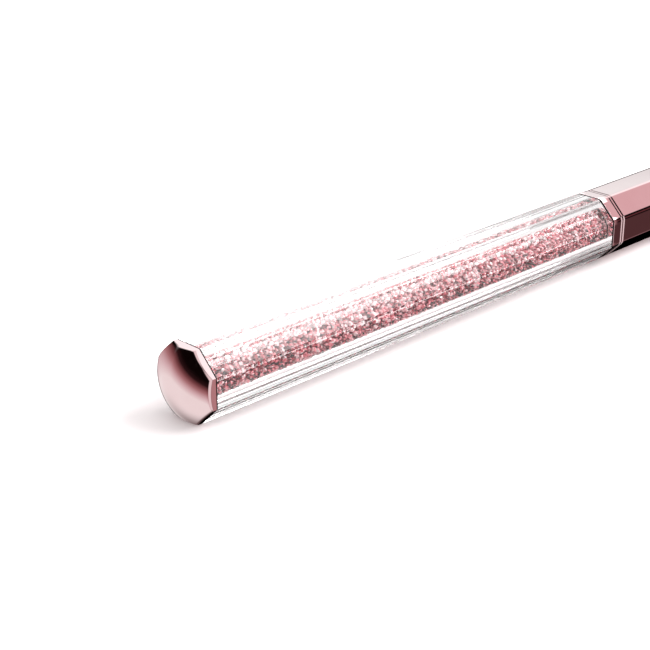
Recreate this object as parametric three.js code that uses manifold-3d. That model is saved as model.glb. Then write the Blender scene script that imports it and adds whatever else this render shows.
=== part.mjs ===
// A twist-action gel pen: an octagonal clear barrel filled with loose crystals behind, an octagonal
// plated barrel and nose in front, and between them a helical-slot mechanism that pushes a slim
// 67 mm refill out of the nose when the rear barrel is turned half a turn.
//
// Every piece is modelled along +Z, with z = 0 at its own rear face, and is set on the pen's axis by
// its station: its distance in millimetres from the apex of the end cap. The last group lays the
// whole pen down along +X, resting on one flat of the octagon.
import * as THREE from "three";
import { mergeVertices } from "three/addons/utils/BufferGeometryUtils.js";
import Module from "manifold-3d";

const wasm = await Module();
wasm.setup();

// ---------------------------------------------------------------- driving dimensions (millimetres)

const PEN_LENGTH = 144;
const ACROSS_FLATS = 9.2;
const CLEARANCE = 0.05; // between pieces that touch or run in each other

const REFILL_LENGTH = 67;
const REFILL_RADIUS = 1.175;
const BALL_RADIUS = 0.35;
const TIP_RECESS = 1.2; // from the nose's mouth back to the ball, retracted
const STROKE = 3.6; // the refill's travel
const TWIST = Math.PI; // the rear barrel's turn for that travel

const CHAMBER_RADIUS = 2.9; // bore of the clear barrel
const CAP_LENGTH = 2.6; // apex to the clear barrel's end
const CAP_DOME_RADIUS = 7.6;
const CAP_SPIGOT = 0.8; // its reach into the clear barrel
const CLEAR_LENGTH = 73.5;
const CRYSTAL_GAP = 0.1; // from the crystals to each end of the chamber
const BAND_LENGTH = 2.1;
const GROOVE_WIDTH = 0.6;
const FRONT_BARREL_LENGTH = 46.6;
const NOSE_RING_LENGTH = 0.7;
const BARREL_STRAIGHT = 20; // the front barrel's length before its flats begin to close in
const BARREL_BOW = 500; // the larger, the less they close in

const THREAD_PITCH = 0.75;
const THREAD_CREST = 3.8;
const THREAD_ROOT = 3.6;

const BUSH_WALL = 0.35; // between the crystals and the plunger's tail
const PLUNGER_FLOOR = 0.35; // behind the refill's tail
const PIN_RADIUS = 0.5;
const SLOT_HALF_WIDTH = PIN_RADIUS + CLEARANCE;

// ---------------------------------------------------------------- stations along the pen's axis

const CLEAR_START = CAP_LENGTH + CLEARANCE;
const CLEAR_END = CLEAR_START + CLEAR_LENGTH;
const BAND_START = CLEAR_END + CLEARANCE;
const BAND_END = BAND_START + BAND_LENGTH;
const FRONT_START = BAND_END + GROOVE_WIDTH;
const FRONT_END = FRONT_START + FRONT_BARREL_LENGTH;
const NOSE_START = FRONT_END + NOSE_RING_LENGTH + 2 * CLEARANCE;
const BALL_FRONT = PEN_LENGTH - TIP_RECESS;
const REFILL_START = BALL_FRONT - REFILL_LENGTH;
const PLUNGER_START = REFILL_START - CLEARANCE - PLUNGER_FLOOR;
const BUSH_START = PLUNGER_START - CLEARANCE - BUSH_WALL;
const BUSH_END = 82.4;
const CLIP_STATION = 82.6;
const SLEEVE_FLANGE = 83.15;
const PIN_STATION = 86.5;
const SLEEVE_END = 92;
const PLUNGER_END = 91.6;
const GUIDE_START = FRONT_START + CLEARANCE;
const GUIDE_STEP = SLEEVE_FLANGE + 0.95;
const GUIDE_END = 101.5;
const GUIDE_FLANGE = 0.8; // thickness of the spring's seat
const LINER_START = GUIDE_END + 0.4;
const NOSE_SPIGOT_START = FRONT_END - 4.6;
const POINT_START = 132.2;
const TUBE_END = 134.6;

// ---------------------------------------------------------------- geometry helpers

const FINE = 48; // sides of the rounds that show
const MEDIUM = 32;
const SMALL = 20;

// A mesh's geometry as a manifold solid.
function solid(geometry) {
  const bare = new THREE.BufferGeometry().setAttribute("position", geometry.getAttribute("position"));
  if (geometry.index) bare.setIndex(geometry.index);
  const merged = mergeVertices(bare, 1e-4);
  return new wasm.Manifold(
    new wasm.Mesh({
      numProp: 3,
      vertProperties: merged.getAttribute("position").array,
      triVerts: new Uint32Array(merged.index.array),
    }),
  );
}

// A manifold solid as a flat-shaded geometry.
function geometryOf(shape) {
  const mesh = shape.getMesh();
  const geometry = new THREE.BufferGeometry();
  geometry.setAttribute("position", new THREE.BufferAttribute(mesh.vertProperties, 3));
  geometry.setIndex(new THREE.BufferAttribute(mesh.triVerts, 1));
  const flat = geometry.toNonIndexed();
  flat.computeVertexNormals();
  return flat;
}

// The first geometry with the others cut out of it.
function cut(geometry, ...tools) {
  return geometryOf(tools.reduce((left, tool) => left.subtract(solid(tool)), solid(geometry)));
}

// A solid of revolution about Z from [radius, z] points, outer wall going forward.
function turned(profile, sides = MEDIUM) {
  const points = profile.map(([radius, z]) => new THREE.Vector2(radius, z));
  return new THREE.LatheGeometry(points, sides).rotateX(Math.PI / 2);
}

// A solid round bar from z = start to z = end.
function roundBar(radius, start, end, sides = MEDIUM) {
  return turned([[0, start], [radius, start], [radius, end], [0, end]], sides);
}

// A plain tube from z = 0 to its length.
function tube(inner, outer, length, sides = MEDIUM) {
  return turned([[inner, 0], [outer, 0], [outer, length], [inner, length], [inner, 0]], sides);
}

// A regular octagon with flats square to X and Y, one unit across them.
function unitOctagon() {
  const corner = 0.5 / Math.cos(Math.PI / 8);
  const points = Array.from({ length: 8 }, (_, i) => {
    const angle = (i + 0.5) * (Math.PI / 4);
    return new THREE.Vector2(corner * Math.cos(angle), corner * Math.sin(angle));
  });
  return new THREE.Shape(points);
}

// An octagonal bar whose width across flats follows a list of [z, width] stations.
function octagonalBar(stations) {
  const steps = stations.length - 1;
  const bar = new THREE.ExtrudeGeometry(unitOctagon(), { depth: steps, steps, bevelEnabled: false });
  const position = bar.getAttribute("position");
  for (let i = 0; i < position.count; i++) {
    const [z, width] = stations[Math.round(position.getZ(i))];
    position.setXYZ(i, position.getX(i) * width, position.getY(i) * width, z);
  }
  bar.computeVertexNormals();
  return bar;
}

// Stations of a bar with a small chamfer round each end.
function chamfered(length, width, chamfer) {
  const slim = width - 2 * chamfer;
  return [[0, slim], [chamfer, width], [length - chamfer, width], [length, slim]];
}

// A box bent into a ribbon round the axis, for cutting a helical slot through a tube's wall.
// It runs from one angle and z to another, at a greater angle, between the two radii.
function slotCutter(from, to, inner, outer) {
  const turn = to.angle - from.angle;
  const slope = (to.z - from.z) / (turn * inner);
  const halfHeight = SLOT_HALF_WIDTH * Math.hypot(1, slope);
  const segments = Math.round(turn / (Math.PI / 20));
  const ribbon = new THREE.BoxGeometry(1, 2 * halfHeight, outer - inner, segments, 1, 1);
  const position = ribbon.getAttribute("position");
  for (let i = 0; i < position.count; i++) {
    const share = position.getX(i) + 0.5;
    const angle = from.angle + share * turn;
    const radius = (inner + outer) / 2 + position.getZ(i);
    const z = from.z + share * (to.z - from.z) + position.getY(i);
    position.setXYZ(i, radius * Math.cos(angle), radius * Math.sin(angle), z);
  }
  return ribbon;
}

// A round pin or drill pointing out from the axis at an angle.
function radialBar(radius, inner, outer, angle, z) {
  return roundBar(radius, inner, outer, SMALL).rotateY(Math.PI / 2).rotateZ(angle).translate(0, 0, z);
}

// ---------------------------------------------------------------- materials

function finish(color, roughness, metalness, extra = {}) {
  return new THREE.MeshStandardMaterial({ color, roughness, metalness, ...extra });
}

const ROSE_GOLD = finish(0xdca8a8, 0.08, 1);
const CLEAR_ACRYLIC = finish(0xffffff, 0.02, 0, { transparent: true, opacity: 0.3 });
const CRYSTAL = finish(0xe6b4bb, 0.05, 0);
const BRASS = finish(0xc9a55c, 0.3, 1);
const STEEL = finish(0xb8bcc0, 0.25, 1);
const NICKEL_SILVER = finish(0xc9c5b8, 0.2, 1);
const CARBIDE = finish(0x8d8f94, 0.15, 1);
const BLACK_RUBBER = finish(0x1a1a1c, 0.8, 0);
const WHITE_PLASTIC = finish(0xe9e7e2, 0.5, 0);
const REFILL_PLASTIC = finish(0xf2f2ee, 0.35, 0, { transparent: true, opacity: 0.6 });
const GEL_INK = finish(0x14161c, 0.3, 0);
const GREASE = finish(0xe8d9a8, 0.3, 0);

// A named mesh at its station on the pen's axis.
function piece(name, geometry, material, station) {
  const mesh = new THREE.Mesh(geometry, material);
  mesh.name = name;
  mesh.position.z = station;
  return mesh;
}

// ---------------------------------------------------------------- rear barrel: it turns as one

// The domed octagonal end cap, with the spigot that is glued into the clear barrel.
function endCap() {
  const reach = ACROSS_FLATS * 0.56;
  const arc = Array.from({ length: 9 }, (_, i) => {
    const radius = (reach * i) / 8;
    return [radius, CAP_DOME_RADIUS - Math.sqrt(CAP_DOME_RADIUS ** 2 - radius ** 2)];
  });
  const dome = turned([...arc, [reach, CAP_LENGTH], [0, CAP_LENGTH]], FINE);
  const bar = octagonalBar([[0, ACROSS_FLATS], [CAP_LENGTH, ACROSS_FLATS]]);
  const spigot = roundBar(CHAMBER_RADIUS - CLEARANCE, CAP_LENGTH - 0.5, CAP_LENGTH + CAP_SPIGOT, FINE);
  return piece("end_cap", geometryOf(solid(dome).intersect(solid(bar)).add(solid(spigot))), ROSE_GOLD, 0);
}

// The clear octagonal barrel with its round chamber.
function clearBarrel() {
  const bar = octagonalBar(chamfered(CLEAR_LENGTH, ACROSS_FLATS, 0.08));
  const chamber = roundBar(CHAMBER_RADIUS, -1, CLEAR_LENGTH + 1, FINE);
  return piece("clear_barrel", cut(bar, chamber), CLEAR_ACRYLIC, CLEAR_START);
}

// The loose crystals, as one lumpy column that fills the chamber.
function crystalFill() {
  const start = CAP_LENGTH + CAP_SPIGOT + CRYSTAL_GAP;
  const length = BUSH_START - CRYSTAL_GAP - start;
  const rings = 44;
  const profile = [[0, 0]];
  for (let i = 0; i <= rings; i++) profile.push([CHAMBER_RADIUS - 0.15, (length * i) / rings]);
  profile.push([0, length]);
  const column = mergeVertices(new THREE.BufferGeometry().copy(turned(profile, 12)).deleteAttribute("uv")
    .deleteAttribute("normal"), 1e-4);
  const position = column.getAttribute("position");
  for (let i = 0; i < position.count; i++) {
    const lump = 1 - 0.09 * (0.5 + 0.5 * Math.sin(i * 12.9898 + 4.1) * Math.cos(i * 78.233));
    position.setXY(i, position.getX(i) * lump, position.getY(i) * lump);
  }
  column.computeVertexNormals();
  return piece("crystal_fill", column, CRYSTAL, start);
}

// The plated octagonal band that trims the clear barrel's front end.
function trimBand() {
  const bar = octagonalBar(chamfered(BAND_LENGTH, ACROSS_FLATS, 0.15));
  const bore = roundBar(CHAMBER_RADIUS + 0.02, -1, BAND_LENGTH + 1);
  return piece("trim_band", cut(bar, bore), ROSE_GOLD, BAND_START);
}

// The turned bush that closes the chamber, clamps the band and holds the drive sleeve.
function barrelBush() {
  const shoulder = BAND_END + CLEARANCE - BUSH_START;
  const length = BUSH_END - BUSH_START;
  const seat = length - 5.4;
  const groove = length - 2.4;
  const profile = [
    [0, 0], [CHAMBER_RADIUS - CLEARANCE, 0], [CHAMBER_RADIUS - CLEARANCE, shoulder],
    [3.1, shoulder], [3.1, groove], [2.75, groove], [2.75, groove + 0.8], [3.1, groove + 0.8],
    [3.1, length], [2.5, length], [2.5, seat], [2.0, seat], [2.0, BUSH_WALL], [0, BUSH_WALL],
  ];
  return piece("barrel_bush", turned(profile), BRASS, BUSH_START);
}

// The O-ring that gives the twist its smooth drag.
function twistORing() {
  const ring = new THREE.TorusGeometry(3.04, 0.26, 8, MEDIUM);
  return piece("twist_o_ring", ring, BLACK_RUBBER, BUSH_END - 2);
}

// The sleeve that turns with the rear barrel: its helical slot drives the pin forward.
function driveSleeve() {
  const start = BUSH_END - 5.35;
  const flange = SLEEVE_FLANGE - start;
  const length = SLEEVE_END - start;
  const body = turned([
    [1.95, 0], [2.45, 0], [2.45, flange], [3.2, flange], [3.2, flange + 0.85], [2.45, flange + 0.85],
    [2.45, length], [1.95, length], [1.95, 0],
  ]);
  const rest = { angle: Math.PI, z: PIN_STATION - start };
  const out = { angle: Math.PI - TWIST, z: rest.z + STROKE };
  const slot = slotCutter(out, rest, 1.8, 2.7);
  const ends = [rest, out].map(({ angle, z }) => radialBar(SLOT_HALF_WIDTH, 1.5, 2.8, angle, z));
  return piece("drive_sleeve", cut(body, slot, ...ends), STEEL, start);
}

// ---------------------------------------------------------------- mechanism: screwed into the front barrel

// The bearing washer whose edge shows in the groove between band and front barrel.
function grooveRing() {
  const length = GROOVE_WIDTH - 2 * CLEARANCE;
  const bar = octagonalBar([[0, ACROSS_FLATS - 0.6], [length, ACROSS_FLATS - 0.6]]);
  return piece("groove_ring", cut(bar, roundBar(3.2, -1, length + 1)), ROSE_GOLD, BAND_END + CLEARANCE);
}

// The threaded guide bush: counterbore for the barrel bush, straight slot for the pin, spring seat.
function guideBush() {
  const length = GUIDE_END - GUIDE_START;
  const step = GUIDE_STEP - GUIDE_START;
  const clip = CLIP_STATION - GUIDE_START;
  const threadStart = 0.6;
  const turns = 8;
  const thread = [];
  for (let i = 0; i < turns; i++) {
    const z = threadStart + i * THREAD_PITCH;
    thread.push([THREAD_ROOT, z], [THREAD_CREST, z + THREAD_PITCH * 0.4], [THREAD_CREST, z + THREAD_PITCH * 0.55]);
  }
  const threadEnd = threadStart + turns * THREAD_PITCH;
  const body = turned([
    [3.33, 0], [THREAD_CREST, 0], [THREAD_CREST, 0.35], ...thread, [THREAD_ROOT, threadEnd], [3.3, threadEnd],
    [3.3, length], [1.4, length], [1.4, length - GUIDE_FLANGE], [2.52, length - GUIDE_FLANGE], [2.52, step],
    [3.33, step], [3.33, clip + 0.45], [3.5, clip + 0.45], [3.5, clip - CLEARANCE], [3.33, clip - CLEARANCE],
    [3.33, 0],
  ]);
  const from = { angle: Math.PI, z: PIN_STATION - GUIDE_START };
  const to = { angle: Math.PI, z: from.z + STROKE };
  const lane = new THREE.BoxGeometry(2, 2 * SLOT_HALF_WIDTH, STROKE).translate(-3.2, 0, (from.z + to.z) / 2);
  const ends = [from, to].map(({ angle, z }) => radialBar(SLOT_HALF_WIDTH, 2.2, 4.2, angle, z));
  return piece("guide_bush", cut(body, lane, ...ends), BRASS, GUIDE_START);
}

// The split ring that holds the drive sleeve's flange in the guide bush.
function retainingClip() {
  const ring = tube(2.7, 3.45, 0.35);
  const gap = new THREE.BoxGeometry(3, 1.4, 2).translate(3, 0, 0);
  return piece("retaining_clip", cut(ring, gap), STEEL, CLIP_STATION);
}

// A wire that winds forward round the axis, with closed end turns.
class SpringLine extends THREE.Curve {
  constructor(radius, length, turns) {
    super();
    Object.assign(this, { radius, length, turns });
  }
  getPoint(share, target = new THREE.Vector3()) {
    const eased = share - Math.sin(share * 2 * Math.PI) / (2 * Math.PI) * 0.75;
    const angle = share * this.turns * 2 * Math.PI;
    return target.set(this.radius * Math.cos(angle), this.radius * Math.sin(angle), this.length * eased);
  }
}

// The return spring between the plunger's nose and the guide bush's flange.
function returnSpring() {
  const wire = 0.15;
  const turns = 9;
  const room = GUIDE_END - GUIDE_FLANGE - PLUNGER_END;
  const line = new SpringLine(1.62, room - 4 * CLEARANCE - 2 * wire, turns);
  const section = new THREE.Shape(new THREE.Path().absarc(0, 0, wire, 0, 2 * Math.PI).getPoints(3));
  const coil = new THREE.ExtrudeGeometry(section, { steps: turns * 14, extrudePath: line });
  return piece("return_spring", coil, STEEL, PLUNGER_END + 2 * CLEARANCE + wire);
}

// ---------------------------------------------------------------- refill: it slides as one

// The plunger that grips the refill's tail and carries the pin.
function plunger() {
  const length = PLUNGER_END - PLUNGER_START;
  const bore = REFILL_RADIUS + 0.065;
  const body = turned([[0, 0], [1.85, 0], [1.85, length], [bore, length], [bore, PLUNGER_FLOOR], [0, PLUNGER_FLOOR]]);
  const hole = radialBar(PIN_RADIUS + 0.03, 1, 2.5, Math.PI, PIN_STATION - PLUNGER_START);
  return piece("plunger", cut(body, hole), BRASS, PLUNGER_START);
}

function camPin() {
  return piece("cam_pin", radialBar(PIN_RADIUS, 1.4, 3.15, Math.PI, 0), STEEL, PIN_STATION);
}

function refillTube() {
  return piece("refill_tube", tube(0.85, REFILL_RADIUS, TUBE_END - REFILL_START, 24), REFILL_PLASTIC, REFILL_START);
}

// The vented plug in the refill's tail.
function tailPlug() {
  return piece("refill_tail_plug", tube(0.25, 0.81, 1.5, SMALL), WHITE_PLASTIC, REFILL_START + 0.1);
}

// The clear grease that follows the ink down the tube.
function inkFollower() {
  return piece("ink_follower", roundBar(0.8, 0, 2.5, SMALL), GREASE, REFILL_START + 4);
}

function gelInk() {
  const start = REFILL_START + 6.6;
  return piece("gel_ink", roundBar(0.8, 0, POINT_START - 0.1 - start, SMALL), GEL_INK, start);
}

// The metal point: a shank in the tube, a cone, an ink channel and the ball's socket, whose lip is
// turned in just past the ball's middle so that the ball can roll but not fall out.
function writingPoint() {
  const shoulder = TUBE_END + CLEARANCE - POINT_START;
  const cone = 6;
  const middle = BALL_FRONT - BALL_RADIUS - POINT_START;
  const lip = middle + 0.15;
  const seat = middle - BALL_RADIUS - CLEARANCE;
  const socket = BALL_RADIUS + 0.035;
  const body = turned([
    [0.25, 0], [0.8, 0], [0.8, shoulder], [1.15, shoulder], [1.15, cone], [0.58, lip - 0.9], [0.43, lip],
    [0.34, lip], [socket, lip - 0.1], [socket, seat], [0.25, seat - 0.1], [0.25, 0],
  ], 24);
  return piece("writing_point", body, NICKEL_SILVER, POINT_START);
}

function writingBall() {
  const ball = new THREE.SphereGeometry(BALL_RADIUS, 16, 12);
  return piece("writing_ball", ball, CARBIDE, BALL_FRONT - BALL_RADIUS);
}

// ---------------------------------------------------------------- front barrel

// The front barrel's width across flats at a distance forward of its rear end.
function frontWidth(z) {
  return ACROSS_FLATS - Math.max(0, z - BARREL_STRAIGHT) ** 2 / BARREL_BOW;
}

// The plated front barrel: an octagonal tube whose flats close in towards the nose, bored for the
// guide bush and the liner.
function frontBarrel() {
  const chamfer = 0.12;
  const steps = 10;
  const stations = [[0, ACROSS_FLATS - 2 * chamfer], [chamfer, ACROSS_FLATS]];
  for (let i = 0; i <= steps; i++) {
    const z = BARREL_STRAIGHT + ((FRONT_BARREL_LENGTH - chamfer - BARREL_STRAIGHT) * i) / steps;
    stations.push([z, frontWidth(z)]);
  }
  stations.push([FRONT_BARREL_LENGTH, frontWidth(FRONT_BARREL_LENGTH) - 2 * chamfer]);
  const bores = turned([
    [0, -1], [THREAD_CREST + CLEARANCE, -1], [THREAD_CREST + CLEARANCE, 7.4], [3.4, 8],
    [3.4, FRONT_BARREL_LENGTH + 1], [0, FRONT_BARREL_LENGTH + 1],
  ]);
  return piece("front_barrel", cut(octagonalBar(stations), bores), ROSE_GOLD, FRONT_START);
}

// The plastic liner that keeps the slim refill on the axis.
function barrelLiner() {
  return piece("barrel_liner", tube(1.4, 3.32, NOSE_SPIGOT_START - 0.2 - LINER_START), WHITE_PLASTIC, LINER_START);
}

// The recessed ring between the front barrel and the nose.
function noseRing() {
  const width = frontWidth(FRONT_BARREL_LENGTH) - 0.5;
  const bar = octagonalBar([[0, width], [NOSE_RING_LENGTH, width]]);
  const ring = cut(bar, roundBar(3.36, -1, NOSE_RING_LENGTH + 1));
  return piece("nose_ring", ring, ROSE_GOLD, FRONT_END + CLEARANCE);
}

// The faceted nose, with the spigot that screws into the front barrel and the refill's bore.
function noseCone() {
  const spigot = NOSE_START - NOSE_SPIGOT_START;
  const length = PEN_LENGTH - NOSE_SPIGOT_START;
  const wide = frontWidth(FRONT_BARREL_LENGTH);
  const tip = 3.5;
  const facets = [[spigot, wide - 0.24], [spigot + 0.12, wide]];
  const steps = 7;
  for (let i = 1; i <= steps; i++) {
    const share = i / steps;
    const bow = 0.9 * Math.sin(share * Math.PI) * (1 - 0.4 * share);
    facets.push([spigot + 0.12 + share * (length - spigot - 0.3), wide + (tip - wide) * share + bow]);
  }
  facets.push([length, tip - 0.35]);
  const plug = roundBar(3.3, 0, spigot + 0.5);
  const bore = turned([[0, -1], [1.4, -1], [1.4, length - 3.4], [1.26, length - 3.2], [1.26, length + 1],
    [0, length + 1]], 24);
  const outside = solid(octagonalBar(facets)).add(solid(plug));
  return piece("nose_cone", geometryOf(outside.subtract(solid(bore))), ROSE_GOLD, NOSE_SPIGOT_START);
}

// ---------------------------------------------------------------- the pen

function assembly(...pieces) {
  const group = new THREE.Group();
  group.add(...pieces);
  return group;
}

const rearBarrel = assembly(
  endCap(), clearBarrel(), crystalFill(), trimBand(), barrelBush(), twistORing(), driveSleeve(),
);
const mechanism = assembly(grooveRing(), guideBush(), retainingClip(), returnSpring());
const refill = assembly(
  plunger(), camPin(), refillTube(), tailPlug(), inkFollower(), gelInk(), writingPoint(), writingBall(),
);
const frontHalf = assembly(frontBarrel(), barrelLiner(), noseRing(), noseCone());

const pen = assembly(rearBarrel, mechanism, refill, frontHalf);
pen.rotation.y = Math.PI / 2;
pen.position.set(-PEN_LENGTH / 2, 0, ACROSS_FLATS / 2);

const part = new THREE.Group();
part.add(pen);

export default part;
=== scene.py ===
"""A twist-action gel pen lying on a pale table.

The pen's axis runs along X, from the domed cap to the writing point, and Z is up. Every length is in
metres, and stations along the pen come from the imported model's own nodes.
"""

import logging
import math
import random
from collections.abc import Sequence
from dataclasses import dataclass
from enum import Enum
from itertools import pairwise

import bmesh
import bpy
from bmesh.types import BMEdge, BMesh, BMFace, BMVert
from bpy.types import Material, Node, NodeSocket, NodeTree, Object
from mathutils import Euler, Matrix, Vector


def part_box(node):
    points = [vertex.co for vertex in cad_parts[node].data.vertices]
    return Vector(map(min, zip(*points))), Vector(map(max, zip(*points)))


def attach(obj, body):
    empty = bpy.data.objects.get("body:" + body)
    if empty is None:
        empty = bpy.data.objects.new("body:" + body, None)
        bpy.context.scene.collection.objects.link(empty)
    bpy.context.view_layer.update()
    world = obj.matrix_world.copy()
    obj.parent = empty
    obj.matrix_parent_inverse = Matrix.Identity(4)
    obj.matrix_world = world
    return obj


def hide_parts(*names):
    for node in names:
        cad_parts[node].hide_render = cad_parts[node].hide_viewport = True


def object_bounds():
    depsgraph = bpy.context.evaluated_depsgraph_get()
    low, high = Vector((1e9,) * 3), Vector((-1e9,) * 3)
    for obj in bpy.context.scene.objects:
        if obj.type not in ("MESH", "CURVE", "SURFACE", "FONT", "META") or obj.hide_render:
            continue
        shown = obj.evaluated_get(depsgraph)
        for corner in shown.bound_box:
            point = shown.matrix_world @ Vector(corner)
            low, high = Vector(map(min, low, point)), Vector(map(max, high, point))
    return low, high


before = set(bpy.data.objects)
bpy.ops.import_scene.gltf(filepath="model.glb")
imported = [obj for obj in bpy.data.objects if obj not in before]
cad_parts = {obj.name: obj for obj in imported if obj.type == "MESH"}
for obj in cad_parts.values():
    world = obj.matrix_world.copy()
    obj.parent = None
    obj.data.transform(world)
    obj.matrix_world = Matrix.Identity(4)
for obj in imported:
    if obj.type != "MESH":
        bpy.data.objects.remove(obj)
CAD_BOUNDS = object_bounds()

LOG = logging.getLogger("gel_pen")
MM = 0.001
AXIS_HEIGHT = (CAD_BOUNDS[0].z + CAD_BOUNDS[1].z) / 2
OCTAGON = 8
FULL_TURN = 2 * math.pi
HALF_FACET = math.pi / OCTAGON
SHARP_ANGLE = math.radians(28)
LENGTHWISE = 0.7  # an edge runs along the pen when its direction leans on X by more than this
ON_A_FACE = 0.9  # a face looks along the pen when its normal leans on X by more than this
TOUCHING = 1e-7
FIT = 0.05 * MM  # between pieces that sit in each other
CHAMFER = 0.12 * MM  # of the rims on both sides of the groove
RIM_BEYOND = 3.9 * MM  # lies between every bore and the outer wall

Colour = tuple[float, float, float]
Outline = Sequence[tuple[float, float]]
Stops = Sequence[tuple[float, Colour]]


@dataclass(frozen=True)
class Span:
    """A stretch of the pen that one CAD node fills.

    Attributes:
        start: Rear end along X.
        end: Front end along X.
        width: Height of the node, which is its width across flats or its diameter.
    """

    start: float
    end: float
    width: float

    @classmethod
    def of(cls, node: str) -> "Span":
        """Reads the span of a node.

        Args:
            node: The node's name.

        Returns:
            Its span.
        """
        low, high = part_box(node)
        return cls(low.x, high.x, high.z - low.z)


# ---------------------------------------------------------------- shaping


def revolve(bm: BMesh, outline: Outline, sides: int) -> None:
    """Turns an outline about the pen's axis.

    Args:
        bm: The mesh that takes the wall.
        outline: Points as (x, radius), where the radius reaches to the corners of the section.
        sides: Number of flats round the axis: eight makes the barrel's octagon.
    """
    tilt = Matrix.Rotation(math.pi / sides, 3, "X")
    verts = [bm.verts.new(Vector((x, 0, AXIS_HEIGHT)) + tilt @ Vector((0, 0, r))) for x, r in outline]
    edges = [bm.edges.new(pair) for pair in pairwise(verts)]
    bmesh.ops.spin(
        bm,
        geom=verts + edges,
        cent=(0, 0, AXIS_HEIGHT),
        axis=(1, 0, 0),
        angle=FULL_TURN,
        steps=sides,
        use_merge=True,
    )
    bmesh.ops.remove_doubles(bm, verts=bm.verts, dist=TOUCHING)


def octagonal(outline: Outline) -> list[tuple[float, float]]:
    """Turns widths across flats into corner radii.

    Args:
        outline: Points as (x, width across flats).

    Returns:
        The same stations with the radius to the corners.
    """
    return [(x, width / 2 / math.cos(HALF_FACET)) for x, width in outline]


def off_axis(vert: BMVert) -> float:
    """A vertex's distance from the pen's axis."""
    return math.hypot(vert.co.y, vert.co.z - AXIS_HEIGHT)


def octagonal_tube(
    outside: Outline,
    inside: Outline,
    corner: float = 0.4 * MM,
    segments: int = 6,
    bore_sides: int = 96,
) -> BMesh:
    """Builds a tube with an octagonal outer wall, its long corners rounded, and a round inner one.

    Args:
        outside: The outer wall as (x, width across flats), rear rim first.
        inside: The inner wall as (x, radius), from the rim that meets the outer wall's first.
        corner: How far the rounding reaches along each flat.
        segments: Steps of the rounding.
        bore_sides: Number of sides of the inner wall, a multiple of eight.

    Returns:
        The closed tube.
    """
    bm = bmesh.new()
    revolve(bm, octagonal(outside), OCTAGON)
    round_edges(bm, corners(bm, lengthwise=True), corner, segments)
    flats = [edge for edge in bm.edges if edge.is_boundary and edge.calc_length() > 2 * corner]
    bmesh.ops.subdivide_edges(bm, edges=flats, cuts=bore_sides // OCTAGON - segments - 1)
    outer = set(bm.faces)
    revolve(bm, inside, bore_sides)
    bmesh.ops.reverse_faces(bm, faces=[face for face in bm.faces if face not in outer])
    rims = [edge for edge in bm.edges if edge.is_boundary]
    middle = (outside[0][0] + outside[-1][0]) / 2
    for rear in (True, False):
        bmesh.ops.bridge_loops(bm, edges=[e for e in rims if (e.verts[0].co.x < middle) == rear])
    bmesh.ops.recalc_face_normals(bm, faces=bm.faces)
    return bm


def corners(bm: BMesh, lengthwise: bool = False) -> list[BMEdge]:
    """Finds the edges where two faces meet sharply.

    Args:
        bm: The mesh to search.
        lengthwise: Whether to keep only the edges that run along the pen.

    Returns:
        The sharp edges.
    """
    sharp = [edge for edge in bm.edges if len(edge.link_faces) == 2 and edge.calc_face_angle() > SHARP_ANGLE]
    if not lengthwise:
        return sharp
    return [edge for edge in sharp if abs(direction(edge).x) > LENGTHWISE]


def direction(edge: BMEdge) -> Vector:
    """The unit vector from one end of an edge to the other."""
    return (edge.verts[0].co - edge.verts[1].co).normalized()


def round_edges(bm: BMesh, edges: list[BMEdge], size: float, segments: int = 3) -> None:
    """Rounds edges.

    Args:
        bm: The mesh.
        edges: The edges to round.
        size: How far the rounding reaches from each edge.
        segments: Steps across the rounding.
    """
    bmesh.ops.bevel(
        bm,
        geom=edges,
        offset=size,
        offset_type="OFFSET",
        affect="EDGES",
        segments=segments,
        profile=0.5,
        material=-1,
        clamp_overlap=True,
    )


def rim(bm: BMesh, x: float, beyond: float) -> list[BMEdge]:
    """Finds the outer edges of an end face.

    Args:
        bm: The mesh.
        x: The end face's station.
        beyond: A radius that lies between the bore and the outer wall.

    Returns:
        The edges at that station that lie further out and border the outer wall.
    """
    found = []
    for edge in bm.edges:
        at_rim = all(abs(vert.co.x - x) < 1e-6 and off_axis(vert) > beyond for vert in edge.verts)
        if at_rim and any(abs(face.normal.x) < ON_A_FACE for face in edge.link_faces):
            found.append(edge)
    return found


def make_piece(
    bm: BMesh,
    name: str,
    finish: Material,
    body: str,
    nodes: Sequence[str],
    even_normals: bool = True,
) -> Object:
    """Turns a finished bmesh into a piece of the pen.

    Args:
        bm: The mesh, which is freed.
        name: The piece's name.
        finish: Its material.
        body: The CAD body that it rides on.
        nodes: The CAD nodes that it stands for, if any.
        even_normals: Whether large flats keep their own normals beside rounded edges.

    Returns:
        The new object.
    """
    bmesh.ops.recalc_face_normals(bm, faces=bm.faces)
    for face in bm.faces:
        face.smooth = True
    for edge in corners(bm):
        edge.smooth = False
    mesh = bpy.data.meshes.new(name)
    bm.to_mesh(mesh)
    bm.free()
    mesh.materials.append(finish)
    piece = bpy.data.objects.new(name, mesh)
    bpy.context.collection.objects.link(piece)
    if even_normals:
        modifier = piece.modifiers.new("even_normals", "WEIGHTED_NORMAL")
        modifier.keep_sharp = True
        modifier.weight = 100
    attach(piece, body)
    if nodes:
        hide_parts(*nodes)
    LOG.info("%s: %d faces, on %s", name, len(mesh.polygons), body)
    return piece


# ---------------------------------------------------------------- finishes


NOISE_MIDDLE = (0.3, 0.7)  # where most of a noise's values lie
PATCHES = (0.35, 0.65)  # the noise values of a finish's darker and lighter patches


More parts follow.
